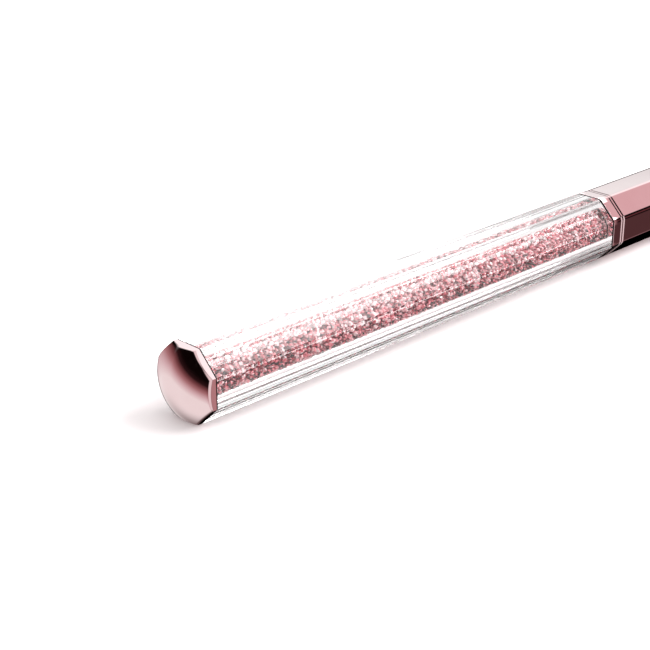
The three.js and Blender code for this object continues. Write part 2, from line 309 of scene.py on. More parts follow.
def colour_ramp(tree: NodeTree, value: NodeSocket, stops: Stops, steps: bool = False) -> NodeSocket:
    """Colours a value.

    Args:
        tree: The node tree that takes the ramp.
        value: What chooses the colour.
        stops: Positions and their colours.
        steps: Whether each colour holds until the next stop.

    Returns:
        The colour.
    """
    node = tree.nodes.new("ShaderNodeValToRGB")
    node.color_ramp.interpolation = "CONSTANT" if steps else "LINEAR"
    elements = node.color_ramp.elements
    while len(elements) < len(stops):
        elements.new(0.5)
    for element, (position, colour) in zip(elements, stops):
        element.position = position
        element.color = (*colour, 1)
    tree.links.new(value, node.inputs["Fac"])
    return node.outputs["Color"]


class Shader:
    """A node material that is built up socket by socket."""

    def __init__(self, name: str) -> None:
        """Starts a material with a Principled shader.

        Args:
            name: The material's name.
        """
        self.material = bpy.data.materials.new(name)
        self.material.use_nodes = True
        self.tree = self.material.node_tree
        self.surface = self.tree.nodes["Principled BSDF"]
        self.place = self.add("ShaderNodeTexCoord").outputs["Object"]

    def add(self, kind: str, **settings: object) -> Node:
        """Adds a node.

        Args:
            kind: The node's type.
            **settings: Its properties, by name.

        Returns:
            The node.
        """
        node = self.tree.nodes.new(kind)
        for key, value in settings.items():
            setattr(node, key, value)
        return node

    def link(self, source: NodeSocket, target: NodeSocket) -> None:
        """Joins two sockets."""
        self.tree.links.new(source, target)

    def set(self, **values: float | Colour) -> None:
        """Sets the Principled shader's own sockets, named with underscores for spaces."""
        for key, value in values.items():
            socket = self.surface.inputs[key.replace("_", " ")]
            socket.default_value = (*value, 1) if isinstance(value, tuple) else value

    def noise(self, scale: float, detail: float = 3, stretch: Vector | None = None) -> NodeSocket:
        """Adds a noise over the piece.

        Args:
            scale: Bumps per metre.
            detail: Octaves of finer noise.
            stretch: How much finer the noise is along each axis.

        Returns:
            Its value, from 0 to 1.
        """
        mapping = self.add("ShaderNodeMapping")
        mapping.inputs["Scale"].default_value = stretch or Vector((1, 1, 1))
        self.link(self.place, mapping.inputs["Vector"])
        noise = self.add("ShaderNodeTexNoise")
        noise.inputs["Scale"].default_value = scale
        noise.inputs["Detail"].default_value = detail
        self.link(mapping.outputs["Vector"], noise.inputs["Vector"])
        return noise.outputs["Fac"]

    def map_range(
        self, value: NodeSocket, source: tuple[float, float], target: tuple[float, float]
    ) -> NodeSocket:
        """Maps one range onto another and holds the ends.

        Args:
            value: What is mapped.
            source: Two of its values.
            target: What they become.

        Returns:
            The mapped value.
        """
        node = self.add("ShaderNodeMapRange")
        for name, number in zip(("From Min", "From Max", "To Min", "To Max"), (*source, *target)):
            node.inputs[name].default_value = number
        self.link(value, node.inputs["Value"])
        return node.outputs["Result"]

    def roughen(self, pattern: NodeSocket, smoothest: float, roughest: float) -> None:
        """Lets the roughness follow a noise's middle range.

        Args:
            pattern: The noise.
            smoothest: The lowest roughness.
            roughest: The highest roughness.
        """
        roughness = self.map_range(pattern, NOISE_MIDDLE, (smoothest, roughest))
        self.link(roughness, self.surface.inputs["Roughness"])

    def paint(self, pattern: NodeSocket, stops: Stops, steps: bool = False) -> None:
        """Lets the base colour follow a pattern.

        Args:
            pattern: What chooses the colour.
            stops: Positions and their colours.
            steps: Whether each colour holds until the next stop.
        """
        self.link(colour_ramp(self.tree, pattern, stops, steps), self.surface.inputs["Base Color"])

    def bump(self, height: NodeSocket, depth: float) -> None:
        """Raises the surface by a height.

        Args:
            height: The pattern, from 0 to 1.
            depth: How high 1 stands.
        """
        node = self.add("ShaderNodeBump")
        node.inputs["Strength"].default_value = 1
        node.inputs["Distance"].default_value = depth
        self.link(height, node.inputs["Height"])
        self.link(node.outputs["Normal"], self.surface.inputs["Normal"])


@dataclass(frozen=True)
class Metal:
    """A metal surface with faint tone changes and lengthwise or crosswise tool marks.

    Attributes:
        name: The material's name.
        colour: Its reflected colour.
        shade: The colour of its slightly darker patches.
        roughness: Its lowest and highest roughness.
        grain: Noise frequency of the tool marks, per metre.
        depth: Height of the tool marks.
        stretch: How much finer the marks are along each axis.
    """

    name: str
    colour: Colour
    shade: Colour
    roughness: tuple[float, float]
    grain: float = 900
    depth: float = 0
    stretch: tuple[float, float, float] = (1, 1, 1)

    def material(self) -> Material:
        """Builds the material."""
        shader = Shader(self.name)
        shader.set(Metallic=1.0)
        patches = shader.noise(260, 4)
        shader.paint(patches, list(zip(PATCHES, (self.shade, self.colour))))
        marks = shader.noise(self.grain, 5, Vector(self.stretch))
        shader.roughen(marks, *self.roughness)
        if self.depth:
            shader.bump(marks, self.depth)
        return shader.material


@dataclass(frozen=True)
class Plastic:
    """A moulded or rubber surface.

    Attributes:
        name: The material's name.
        colour: Its colour.
        shade: The colour of its darker patches.
        roughness: Its lowest and highest roughness.
        transmission: How much light goes through it.
        index: Its refractive index.
        depth: Height of its grain.
        shine: Strength of its reflections, 0.5 for a plain plastic.
    """

    name: str
    colour: Colour
    shade: Colour
    roughness: tuple[float, float]
    transmission: float = 0
    index: float = 1.49
    depth: float = 2e-6
    shine: float = 0.5

    def material(self) -> Material:
        """Builds the material."""
        shader = Shader(self.name)
        shader.set(Transmission_Weight=self.transmission, IOR=self.index, Specular_IOR_Level=self.shine)
        patches = shader.noise(700, 4)
        shader.paint(patches, list(zip(PATCHES, (self.shade, self.colour))))
        grain = shader.noise(5200, 4)
        shader.roughen(grain, *self.roughness)
        shader.bump(grain, self.depth)
        return shader.material


@dataclass(frozen=True)
class Acrylic:
    """Clear cast acrylic, polished, with the faintest waviness.

    Attributes:
        name: The material's name.
        tint: Its colour.
        index: Its refractive index.
        roughness: Its lowest and highest roughness.
        depth: Height of its waviness.
        shade: How much light each of its surfaces lets through to what lies behind.
    """

    name: str = "clear_acrylic"
    tint: Colour = (1.0, 1.0, 1.0)
    index: float = 1.49
    roughness: tuple[float, float] = (0.0, 0.012)
    depth: float = 0.4e-6
    shade: Colour = (0.52, 0.49, 0.495)

    def material(self) -> Material:
        """Builds the material."""
        shader = Shader(self.name)
        shader.set(Base_Color=self.tint, Transmission_Weight=1.0, IOR=self.index)
        waves = shader.noise(120, 2)
        shader.roughen(waves, *self.roughness)
        shader.bump(waves, self.depth)
        self.let_light_through(shader)
        return shader.material

    def let_light_through(self, shader: Shader) -> None:
        """Makes the plastic cast a faint shadow, as clear plastic does.

        Args:
            shader: The material to change.
        """
        path = shader.add("ShaderNodeLightPath")
        clear = shader.add("ShaderNodeBsdfTransparent")
        clear.inputs["Color"].default_value = (*self.shade, 1)
        mix = shader.add("ShaderNodeMixShader")
        shader.link(path.outputs["Is Shadow Ray"], mix.inputs["Fac"])
        shader.link(shader.surface.outputs["BSDF"], mix.inputs[1])
        shader.link(clear.outputs["BSDF"], mix.inputs[2])
        shader.link(mix.outputs["Shader"], shader.tree.nodes["Material Output"].inputs["Surface"])


@dataclass(frozen=True)
class Crystal:
    """Faceted glass stones, each of its own tint, with painted glints and dark facets, and with painted shade
    that makes them darker the lower they lie.

    Attributes:
        name: The material's name.
        tint_and_glint_layer: The mesh layer that holds a facet's tint, from 0, clear, to 1, darkest: the
            stone's own tint plus a random part per facet that paints glints and dark facets.
        index: Their refractive index.
        transmission: How much light goes through them.
        roughness: Their roughness.
        reach: How far above and below the pen's axis the painted shade changes the tint.
        shift: The painted shade that the tint gains at the top and at the bottom of that reach, most at the
            bottom.
        palette: The colour from each tint on.
    """

    name: str = "crystal_glass"
    tint_and_glint_layer: str = "tint"
    index: float = 1.55
    transmission: float = 0.15
    roughness: float = 0.04
    reach: float = 2 * MM
    shift: tuple[float, float] = (-0.02, 0.46)
    palette: Stops = (
        (0.0, (1.0, 0.92, 0.92)),
        (0.30, (0.98, 0.76, 0.78)),
        (0.44, (0.92, 0.52, 0.55)),
        (0.58, (0.82, 0.26, 0.30)),
        (0.76, (0.62, 0.10, 0.13)),
        (0.86, (0.22, 0.02, 0.03)),
        (0.94, (0.02, 0.004, 0.006)),
    )

    def material(self) -> Material:
        """Builds the material."""
        shader = Shader(self.name)
        shader.set(Transmission_Weight=self.transmission, IOR=self.index, Roughness=self.roughness)
        tint = shader.add("ShaderNodeAttribute", attribute_name=self.tint_and_glint_layer).outputs["Fac"]
        split = shader.add("ShaderNodeSeparateXYZ")
        shader.link(shader.place, split.inputs["Vector"])
        # painted shade: the stones' tint darkens towards the bottom of the pen, where less light reaches them
        heights = (AXIS_HEIGHT + self.reach, AXIS_HEIGHT - self.reach)
        tint_with_painted_shade = shader.add("ShaderNodeMath", operation="ADD")
        shader.link(tint, tint_with_painted_shade.inputs[0])
        shader.link(shader.map_range(split.outputs["Z"], heights, self.shift), tint_with_painted_shade.inputs[1])
        shader.paint(tint_with_painted_shade.outputs["Value"], self.palette, steps=True)
        return shader.material


TURNED = (14, 1, 1)  # tool marks that run round the pen, many along it
FINE_TURNED = (20, 1, 1)

ROSE_GOLD = Metal("rose_gold_plate", (0.86, 0.69, 0.70), (0.84, 0.66, 0.67), (0.015, 0.05), 1500)
COPPER = Metal("dark_copper", (0.52, 0.24, 0.24), (0.40, 0.16, 0.16), (0.06, 0.12), 3000)
TURNED_BRASS = Metal("turned_brass", (0.72, 0.52, 0.24), (0.60, 0.42, 0.18), (0.2, 0.38), 900, 3e-6, TURNED)
STEEL = Metal("turned_steel", (0.56, 0.57, 0.58), (0.46, 0.47, 0.49), (0.16, 0.32), 900, 2e-6, TURNED)
SPRING_STEEL = Metal("spring_steel", (0.50, 0.50, 0.52), (0.36, 0.36, 0.38), (0.2, 0.35), 3000, 1e-6)
NICKEL_SILVER = Metal(
    "nickel_silver", (0.70, 0.68, 0.60), (0.60, 0.58, 0.51), (0.1, 0.2), 900, 1e-6, FINE_TURNED
)
CARBIDE = Metal("carbide", (0.30, 0.30, 0.32), (0.22, 0.22, 0.24), (0.05, 0.14), 9000)
RUBBER = Plastic("black_rubber", (0.012, 0.009, 0.009), (0.008, 0.006, 0.006), (0.5, 0.75), shine=0.1)
WHITE_PLASTIC = Plastic("white_plastic", (0.82, 0.81, 0.78), (0.76, 0.75, 0.72), (0.35, 0.5))
REFILL_PLASTIC = Plastic("refill_plastic", (0.93, 0.94, 0.93), (0.88, 0.89, 0.88), (0.12, 0.25), 0.7)
GREASE = Plastic("follower_grease", (0.86, 0.76, 0.48), (0.80, 0.69, 0.40), (0.1, 0.2), 0.6)
GEL_INK = Plastic("gel_ink", (0.012, 0.013, 0.018), (0.008, 0.009, 0.014), (0.08, 0.2))


# ---------------------------------------------------------------- rear barrel


@dataclass
class RearBarrel:
    """The half that is twisted: cap, clear barrel, crystals, band and the plug that closes the chamber.

    Attributes:
        body: The CAD body that it rides on.
        width: Width across the octagon's flats.
        bore: Radius of the chamber.
        dome_radius: Radius of the cap's dome.
        corner: How far the rounding of the band's long corners reaches.
        edge: The same for the clear barrel and the seals, which are crisper.
        clearance: How much wider than the chamber the bores of the band and the seals are.
        seal: Room for the dark seal between the clear barrel and the band.
        cap_gap: Room for the seal between the cap and the clear barrel.
        stone: Typical size of a crystal.
        plug_nose: Length of the plug's slim nose, which the crystals surround.
        flutes: Number of flutes on the chamber's plug.
        seed: Where the crystals' random numbers start.
    """

    body: str = "rear_barrel"
    width: float = Span.of("clear_barrel").width
    bore: float = 2.9 * MM
    dome_radius: float = 7.6 * MM
    corner: float = 0.4 * MM
    edge: float = 0.12 * MM
    clearance: float = 0.02 * MM
    seal: float = 0.36 * MM
    cap_gap: float = 0.17 * MM
    stone: float = 0.75 * MM
    plug_nose: float = 0.7 * MM
    flutes: int = 28
    seed: int = 11

    def build(self) -> None:
        """Builds every piece of the rear barrel."""
        plate = ROSE_GOLD.material()
        self.cap(plate)
        self.clear_barrel(Acrylic().material())
        self.crystals(Crystal().material())
        self.band(plate)
        self.plug(COPPER.material())
        self.seals(RUBBER.material())

    def cap(self, finish: Material) -> Object:
        """Builds the domed octagonal cap with its spigot."""
        span = Span.of("end_cap")
        half = self.width / 2
        fillet = 0.2 * MM
        face = Span.of("clear_barrel").start - self.cap_gap
        dome_steps, fillet_steps, facet_cuts = 24, 6, 11
        apothems = [(half - fillet) * i / dome_steps for i in range(1, dome_steps + 1)]
        for i in range(1, fillet_steps + 1):
            apothems.append(half - fillet + fillet * math.sin(math.pi / 2 * i / fillet_steps))
        outline = [(span.start, 0)] + [(span.start, 2 * apothem) for apothem in apothems]
        outline += [(face, self.width), (face, 0)]
        bm = bmesh.new()
        revolve(bm, octagonal(outline), OCTAGON)
        across = [edge for edge in bm.edges if self.is_across(edge)]
        bmesh.ops.subdivide_edges(bm, edges=across, cuts=facet_cuts)
        for vert in bm.verts:
            if vert.co.x < span.start + 1e-9:
                vert.co.x += self.dome_sag(vert.co.y, vert.co.z - AXIS_HEIGHT, half, fillet)
        spigot = self.bore - FIT
        root = face - 0.3 * MM
        revolve(bm, [(root, 0), (root, spigot), (span.end, spigot), (span.end, 0)], 96)
        bmesh.ops.recalc_face_normals(bm, faces=bm.faces)
        return make_piece(bm, "domed_cap", finish, self.body, ["end_cap"])

    @staticmethod
    def is_across(edge: BMEdge) -> bool:
        """Whether an edge joins two neighbouring corners of one octagon."""
        one, other = edge.verts
        level = abs(one.co.x - other.co.x) < TOUCHING
        return level and abs(off_axis(one) - off_axis(other)) < TOUCHING

    def dome_sag(self, y: float, z: float, half: float, fillet: float) -> float:
        """How far the dome lies ahead of its apex at a place off the axis, with its rounded rim.

        Args:
            y: The place, across.
            z: The place, up from the axis.
            half: Half the width across the octagon's flats.
            fillet: Radius of the rim's rounding.

        Returns:
            The distance along X.
        """
        turns = [i * FULL_TURN / OCTAGON for i in range(OCTAGON)]
        apothem = max(y * math.cos(turn) + z * math.sin(turn) for turn in turns)
        sphere = self.dome_radius - math.sqrt(self.dome_radius**2 - y * y - z * z)
        over = min(max(0.0, apothem - half + fillet), fillet)
        return sphere + fillet - math.sqrt(fillet**2 - over**2)

    def clear_barrel(self, finish: Material) -> Object:
        """Builds the clear octagonal tube."""
        span = Span.of("clear_barrel")
        outside = [(span.start, self.width), (span.end, self.width)]
        inside = [(span.start, self.bore), (span.end, self.bore)]
        bm = octagonal_tube(outside, inside, self.edge, segments=3, bore_sides=128)
        return make_piece(bm, "clear_octagon", finish, self.body, ["clear_barrel"])

    def crystals(self, finish: Material) -> Object:
        """Fills the chamber with loose faceted stones, in rings that are jittered."""
        span = Span.of("crystal_fill")
        dice = random.Random(self.seed)
        pitch = 0.86 * self.stone
        rings = round((span.end - span.start + self.plug_nose) / pitch)
        layers = ((2.5 * MM, 21), (1.75 * MM, 13), (0.9 * MM, 6))  # radius and number of stones
        heap = bmesh.new()
        heap.faces.layers.float.new(Crystal.tint_and_glint_layer)
        for i in range(rings + 1):
            x = span.start + self.stone * 0.3 + i * pitch
            ring = bmesh.new()
            layer = ring.faces.layers.float.new(Crystal.tint_and_glint_layer)
            for radius, count in layers if x < span.end - 0.3 * MM else layers[:1]:
                for j in range(count):
                    angle = FULL_TURN * (j + dice.uniform(-0.3, 0.3) + 0.5 * (i % 2)) / count
                    facets = self.add_stone(ring, dice, x, radius, angle, pitch)
                    tint = dice.random()
                    for facet in facets:
                        # the stone's own tint plus a random part per facet, which paints glints and dark
                        # facets
                        facet[layer] = 0.4 * tint + 0.6 * dice.random()
            mesh = bpy.data.meshes.new("ring")
            ring.to_mesh(mesh)
            ring.free()
            heap.from_mesh(mesh)
            bpy.data.meshes.remove(mesh)
        return make_piece(heap, "crystals", finish, self.body, ["crystal_fill"], even_normals=False)

    def add_stone(
        self, ring: BMesh, dice: random.Random, x: float, radius: float, angle: float, pitch: float
    ) -> list[BMFace]:
        """Adds one faceted stone, jittered about its place.

        Args:
            ring: The mesh that takes it.
            dice: The source of random numbers.
            x: Its station along the pen.
            radius: Its distance from the axis, before the jitter.
            angle: Its turn about the axis.
            pitch: The distance between rings.

        Returns:
            Its facets, always in the same order.
        """
        size = self.stone * dice.uniform(0.42, 0.60)
        out = min(radius + dice.uniform(-0.25, 0.12) * MM, self.bore - size - 0.01 * MM)
        along = x + dice.uniform(-0.2, 0.2) * pitch
        spot = Vector((along, out * math.sin(angle), AXIS_HEIGHT + out * math.cos(angle)))
        turn = Euler([dice.uniform(0, FULL_TURN) for _ in range(3)]).to_matrix().to_4x4()
        squat = Matrix.Diagonal((1, dice.uniform(0.7, 1.0), dice.uniform(0.6, 1.0), 1))
        made = bmesh.ops.create_uvsphere(
            ring,
            u_segments=6,
            v_segments=4,
            radius=size,
            matrix=Matrix.Translation(spot) @ turn @ squat,
        )
        return list(dict.fromkeys(facet for vert in made["verts"] for facet in vert.link_faces))

    def band(self, finish: Material) -> Object:
        """Builds the plated octagonal band with its rounded rear edge."""
        span = Span.of("trim_band")
        inner = self.bore + self.clearance
        start = span.start + self.seal
        outside = [(start, self.width), (span.end, self.width)]
        bm = octagonal_tube(outside, [(start, inner), (span.end, inner)], self.corner)
        round_edges(bm, rim(bm, start, RIM_BEYOND), 0.08 * MM)
        round_edges(bm, rim(bm, span.end, RIM_BEYOND), CHAMFER, segments=1)
        return make_piece(bm, "octagonal_band", finish, self.body, ["trim_band"])

    def seals(self, finish: Material) -> None:
        """Builds the thin dark seals at both ends of the clear barrel."""
        clear = Span.of("clear_barrel")
        width = self.width - 0.06 * MM
        bore = self.bore + self.clearance
        play = 0.02 * MM
        places = {
            "cap_seal": (clear.start - self.cap_gap + play, clear.start - play),
            "band_seal": (Span.of("trim_band").start, Span.of("trim_band").start + self.seal - play),
        }
        for name, (start, end) in places.items():
            outside = [(start, width), (end, width)]
            bm = octagonal_tube(outside, [(start, bore), (end, bore)], self.edge, segments=3)
            make_piece(bm, name, finish, self.body, [])

    def plug(self, finish: Material) -> Object:
        """Builds the fluted plug that closes the chamber and holds the drive sleeve."""
        span = Span.of("barrel_bush")
        radius = self.bore - FIT
        shoulder = Span.of("trim_band").end + FIT
        nose, nose_radius = span.start + self.plug_nose, 2.1 * MM
        tail, groove_floor = 3.1 * MM, 2.75 * MM
        groove_start, groove_end = span.end - 2.4 * MM, span.end - 1.6 * MM
        socket, socket_floor = 2.5 * MM, span.end - 5.4 * MM
        hollow, hollow_floor = 2.0 * MM, span.start + 1.1 * MM
        outline = [
            (span.start, 0), (span.start, nose_radius), (nose, nose_radius), (nose, radius),
            (shoulder, radius), (shoulder, tail), (groove_start, tail), (groove_start, groove_floor),
            (groove_end, groove_floor), (groove_end, tail), (span.end, tail), (span.end, socket),
            (socket_floor, socket), (socket_floor, hollow), (hollow_floor, hollow), (hollow_floor, 0),
        ]
        flute_depth = 0.24 * MM
        bm = bmesh.new()
        revolve(bm, outline, self.flutes * 4)
        for vert in bm.verts:
            offset = vert.co - Vector((vert.co.x, 0, AXIS_HEIGHT))
            if abs(offset.length - radius) < 1e-6:
                angle = math.atan2(offset.y, offset.z)
                depth = flute_depth * (0.5 - 0.5 * math.cos(self.flutes * angle))
                vert.co -= offset.normalized() * depth
        return make_piece(bm, "fluted_plug", finish, self.body, ["barrel_bush"], even_normals=False)


# ---------------------------------------------------------------- front half


@dataclass
class FrontHalf:
    """The plated front barrel, the nose ring and the nose.

    Attributes:
        body: The CAD body that it rides on.
        corner: How far the rounding of the long corners reaches.
        straight: The barrel's length before its flats begin to close in.
        bow: The larger, the less they close in.
    """

    body: str = "front_half"
    corner: float = 0.4 * MM
    straight: float = 20 * MM
    bow: float = 0.5

    def build(self) -> None:
        """Builds every piece of the front half."""
        plate = ROSE_GOLD.material()
        self.barrel(plate)
        self.nose_ring(plate)
        self.nose(plate)

    def width(self, distance: float) -> float:
        """The barrel's width across flats at a distance forward of its rear end."""
        return Span.of("front_barrel").width - max(0, distance - self.straight) ** 2 / self.bow

    def barrel(self, finish: Material) -> Object:
        """Builds the faintly bowed octagonal barrel."""
        span = Span.of("front_barrel")
        length = span.end - span.start
        steps = 24
        outside = []
        for i in range(steps + 1):
            distance = length * i / steps
            outside.append((span.start + distance, self.width(distance)))
        threaded, plain = 3.85 * MM, 3.4 * MM
        bore = [
            (span.start, threaded), (span.start + 7.4 * MM, threaded),
            (span.start + 8 * MM, plain), (span.end, plain),
        ]
        bm = octagonal_tube(outside, bore, self.corner)
        for end in (span.start, span.end):
            round_edges(bm, rim(bm, end, RIM_BEYOND), CHAMFER, segments=1)
        return make_piece(bm, "octagonal_front_barrel", finish, self.body, ["front_barrel"])

    def nose_ring(self, finish: Material) -> Object:
        """Builds the recessed ring behind the nose."""
        span = Span.of("nose_ring")
        bore = 3.36 * MM
        outside = [(span.start, span.width), (span.end, span.width)]
        bm = octagonal_tube(outside, [(span.start, bore), (span.end, bore)], 0.2 * MM)
        return make_piece(bm, "recessed_nose_ring", finish, self.body, ["nose_ring"])

    def nose(self, finish: Material) -> Object:
        """Builds the faceted nose with its spigot and its bore."""
        span = Span.of("nose_cone")
        shoulder = Span.of("nose_ring").end + FIT
        barrel = Span.of("front_barrel")
        wide = self.width(barrel.end - barrel.start)
        tip, mouth_round, fullness = 3.5 * MM, 0.3 * MM, 0.9 * MM
        length = span.end - shoulder
        outside = [(shoulder, wide - 2 * CHAMFER), (shoulder + CHAMFER, wide)]
        steps = 28
        for i in range(1, steps + 1):
            share = i / steps
            bow = fullness * math.sin(share * math.pi) * (1 - 0.4 * share)
            station = shoulder + CHAMFER + share * (length - mouth_round)
            outside.append((station, wide + (tip - wide) * share + bow))
        outside.append((span.end, tip - 0.35 * MM))
        spigot, guide, mouth = 3.3 * MM, 1.4 * MM, 1.26 * MM
        inside = [
            (shoulder, spigot), (span.start, spigot), (span.start, guide),
            (span.end - 3.4 * MM, guide), (span.end - 3.2 * MM, mouth), (span.end, mouth),
        ]
        bm = octagonal_tube(outside, inside, 0.25 * MM)
        return make_piece(bm, "faceted_nose", finish, self.body, ["nose_cone"])


# ---------------------------------------------------------------- mechanism and refill


class InnerPiece(Enum):
    """The turned and moulded inner pieces that keep the CAD's shape, with their finishes."""

    GUIDE_BUSH = ("guide_bush", TURNED_BRASS)
    RETAINING_CLIP = ("retaining_clip", SPRING_STEEL)
    RETURN_SPRING = ("return_spring", SPRING_STEEL)
    DRIVE_SLEEVE = ("drive_sleeve", STEEL)
    TWIST_O_RING = ("twist_o_ring", RUBBER)
    PLUNGER = ("plunger", TURNED_BRASS)
    CAM_PIN = ("cam_pin", STEEL)
    REFILL_TUBE = ("refill_tube", REFILL_PLASTIC)
    TAIL_PLUG = ("refill_tail_plug", WHITE_PLASTIC)
    INK_FOLLOWER = ("ink_follower", GREASE)
    INK = ("gel_ink", GEL_INK)
    POINT = ("writing_point", NICKEL_SILVER)
    BALL = ("writing_ball", CARBIDE)
    LINER = ("barrel_liner", WHITE_PLASTIC)


class Mechanism:
    """The twist mechanism and the refill, inside the barrels."""

    def build(self) -> None:
        """Builds the washer in the groove and dresses every inner piece."""
        self.washer(ROSE_GOLD.material())
        for inner in InnerPiece:
            node, finish = inner.value
            material = finish.material()
            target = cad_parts[node]
            for slot in target.material_slots:
                slot.material = material
            LOG.info("%s: dressed in %s", node, finish.name)

    def washer(self, finish: Material) -> Object:
        """Builds the bearing washer, whose chamfered rim shows between the band and the front barrel."""
        span = Span.of("groove_ring")
        width = Span.of("front_barrel").width - 0.04 * MM
        bore = 3.2 * MM
        bm = octagonal_tube([(span.start, width), (span.end, width)], [(span.start, bore), (span.end, bore)])
        for end in (span.start, span.end):
            round_edges(bm, rim(bm, end, RIM_BEYOND), CHAMFER, segments=1)
        return make_piece(bm, "groove_washer", finish, "mechanism", ["groove_ring"])


# ---------------------------------------------------------------- studio


class Room:
    """The surroundings: even pale light for matt surfaces, and a studio for polished ones to mirror.

    The mirrored studio is worked out from a ray's direction: x ahead along the pen, y to the left of it
    and z up, each from -1 to 1. Its walls fade to dark towards the viewer's left, a table lies below,
    and a soft box hangs ahead. Each pair of numbers says where a change starts and where it is complete.
    """

    def __init__(self) -> None:
        """Starts a world and splits a ray's direction into its three parts."""
        world = bpy.data.worlds.new("room")
        bpy.context.scene.world = world
        world.use_nodes = True
        self.tree = world.node_tree
        heading = self.tree.nodes.new("ShaderNodeTexCoord").outputs["Generated"]
        split = self.tree.nodes.new("ShaderNodeSeparateXYZ")
        self.tree.links.new(heading, split.inputs[0])
        self.x, self.y, self.z = split.outputs

    def build(self, soft_box: float, room_light: float) -> None:
        """Joins what matt and polished surfaces see.

        Args:
            soft_box: Brightness of the mirrored soft box.
            room_light: Brightness of the room for matt surfaces.
        """
        seen_through = 0.93  # how much of the pale room a ray through clear plastic sees
        mirrored = self.blend(self.where_box_hangs(), self.walls_and_table(), self.box(soft_box))
        path = self.tree.nodes.new("ShaderNodeLightPath").outputs
        through = self.sum("MULTIPLY", path["Is Transmission Ray"], seen_through)
        share = self.sum("SUBTRACT", path["Is Glossy Ray"], through)
        pale = self.blend(path["Is Glossy Ray"], (room_light,) * 3, (1.0, 1.0, 1.0))
        colour = self.blend(share, pale, mirrored)
        self.tree.links.new(colour, self.tree.nodes["Background"].inputs["Color"])

    def walls(self) -> NodeSocket:
        """Colours the walls and the floor, which fade to dark upwards, ahead and to one side."""
        fall = self.sum("ADD", self.sum("SUBTRACT", 0.2, self.z), self.sum("MULTIPLY", self.y, 0.4))
        ahead = self.sum("MAXIMUM", self.sum("ADD", self.x, 0.6), 0.0)
        fall = self.sum("SUBTRACT", fall, self.sum("MULTIPLY", ahead, 0.35))
        walls = colour_ramp(self.tree, fall, [
            (0.05, (0.003, 0.001, 0.001)),
            (0.20, (0.025, 0.008, 0.009)),
            (0.32, (0.20, 0.07, 0.075)),
            (0.45, (0.44, 0.22, 0.23)),
            (0.60, (0.74, 0.57, 0.59)),
            (0.76, (0.97, 0.95, 0.94)),
        ])
        underfoot = self.both(self.step(self.x, -0.55, 0.15), self.step(self.z, -0.45, -0.95))
        walls = self.blend(underfoot, walls, (0.12, 0.08, 0.08))
        glow = self.both(self.step(self.y, -0.35, -0.6), self.step(self.x, 0.3, 0.5))
        return self.blend(glow, walls, (0.5, 0.27, 0.28))

    def table(self) -> NodeSocket:
        """Colours the table ahead, whose edges are black lines with a brown one between them."""
        edge = colour_ramp(self.tree, self.sum("ADD", self.z, 0.6), [
            (0.30, (0.088, 0.038, 0.040)),
            (0.40, (0.07, 0.03, 0.032)),
            (0.44, (0.004, 0.002, 0.002)),
            (0.58, (0.004, 0.002, 0.002)),
            (0.64, (0.12, 0.035, 0.04)),
            (0.76, (0.12, 0.035, 0.04)),
            (0.80, (0.004, 0.002, 0.002)),
        ])
        lip = colour_ramp(self.tree, self.sum("ADD", self.y, 0.6), [
            (0.12, (0.0, 0.0, 0.0)),
            (0.22, (0.5, 0.28, 0.29)),
            (0.32, (0.0, 0.0, 0.0)),
        ])
        side = self.blend(self.step(self.z, -0.36, -0.48), (0.0, 0.0, 0.0), lip)
        return self.blend(self.step(self.y, -0.5, -0.3), edge, side)

    def walls_and_table(self) -> NodeSocket:
        """Sets the table before the walls, and lights the directions to the side and overhead."""
        reach = self.blend(
            self.step(self.y, -0.5, -0.3), self.step(self.x, 0.56, 0.72), self.step(self.x, 0.2, 0.5)
        )
        shaded = self.blend(reach, self.walls(), self.table())
        side = self.both(self.step(self.y, -0.5, -0.7), self.step(self.x, 0.4, 0.2))
        aside = self.sum("MAXIMUM", side, self.step(self.z, 0.76, 0.88))
        return self.blend(aside, shaded, (0.9, 0.78, 0.79))

    def box(self, brightness: float) -> NodeSocket:
        """Colours the soft box, which is brightest in the middle and plainer ahead.

        Args:
            brightness: How bright its middle is.

        Returns:
            The colour.
        """
        far = colour_ramp(self.tree, self.sum("ADD", self.y, 0.5), [
            (0.40, (0.81, 0.54, 0.56)),
            (0.58, (1.3, 1.25, 1.25)),
            (0.70, (1.3, 1.25, 1.25)),
            (0.82, (1.0, 1.07, 1.06)),
        ])
        near = self.blend(self.step(self.x, 0.57, 0.60), (1.25, 1.25, 1.25), (brightness,) * 3)
        return self.blend(self.step(self.x, 0.62, 0.75), near, far)

    def where_box_hangs(self) -> NodeSocket:
        """Tells the soft box's directions, 1, from all others, 0."""
        across = self.sum("ADD", self.x, self.sum("MULTIPLY", self.y, 0.6))
        above = self.sum("ADD", self.z, self.sum("MULTIPLY", self.y, 0.2))
        hung = self.both(self.step(across, -0.1, 0.25), self.step(above, 0.30, 0.42))
        return self.both(hung, self.step(self.y, 0.85, 0.74))

    def sum(self, operation: str, *values: float | NodeSocket) -> NodeSocket:
        """Adds a sum of numbers or sockets.

        Args:
            operation: The kind of sum.
            *values: Its terms.

        Returns:
            The result.
        """
        node = self.tree.nodes.new("ShaderNodeMath")
        node.operation = operation
        for socket, value in zip(node.inputs, values):
            self.give(socket, value)
        return node.outputs[0]

    def both(self, one: NodeSocket, other: NodeSocket) -> NodeSocket:
        """Tells where two masks overlap."""
        return self.sum("MULTIPLY", one, other)

    def step(self, value: NodeSocket, start: float, end: float) -> NodeSocket:
        """Adds a smooth step.

        Args:
            value: What is looked at.
            start: Where the step is still 0.
            end: Where it has become 1.

        Returns:
            The step.
        """
        node = self.tree.nodes.new("ShaderNodeMapRange")
        node.interpolation_type = "SMOOTHSTEP"
        node.inputs["From Min"].default_value = start
        node.inputs["From Max"].default_value = end
        self.tree.links.new(value, node.inputs["Value"])
        return node.outputs["Result"]

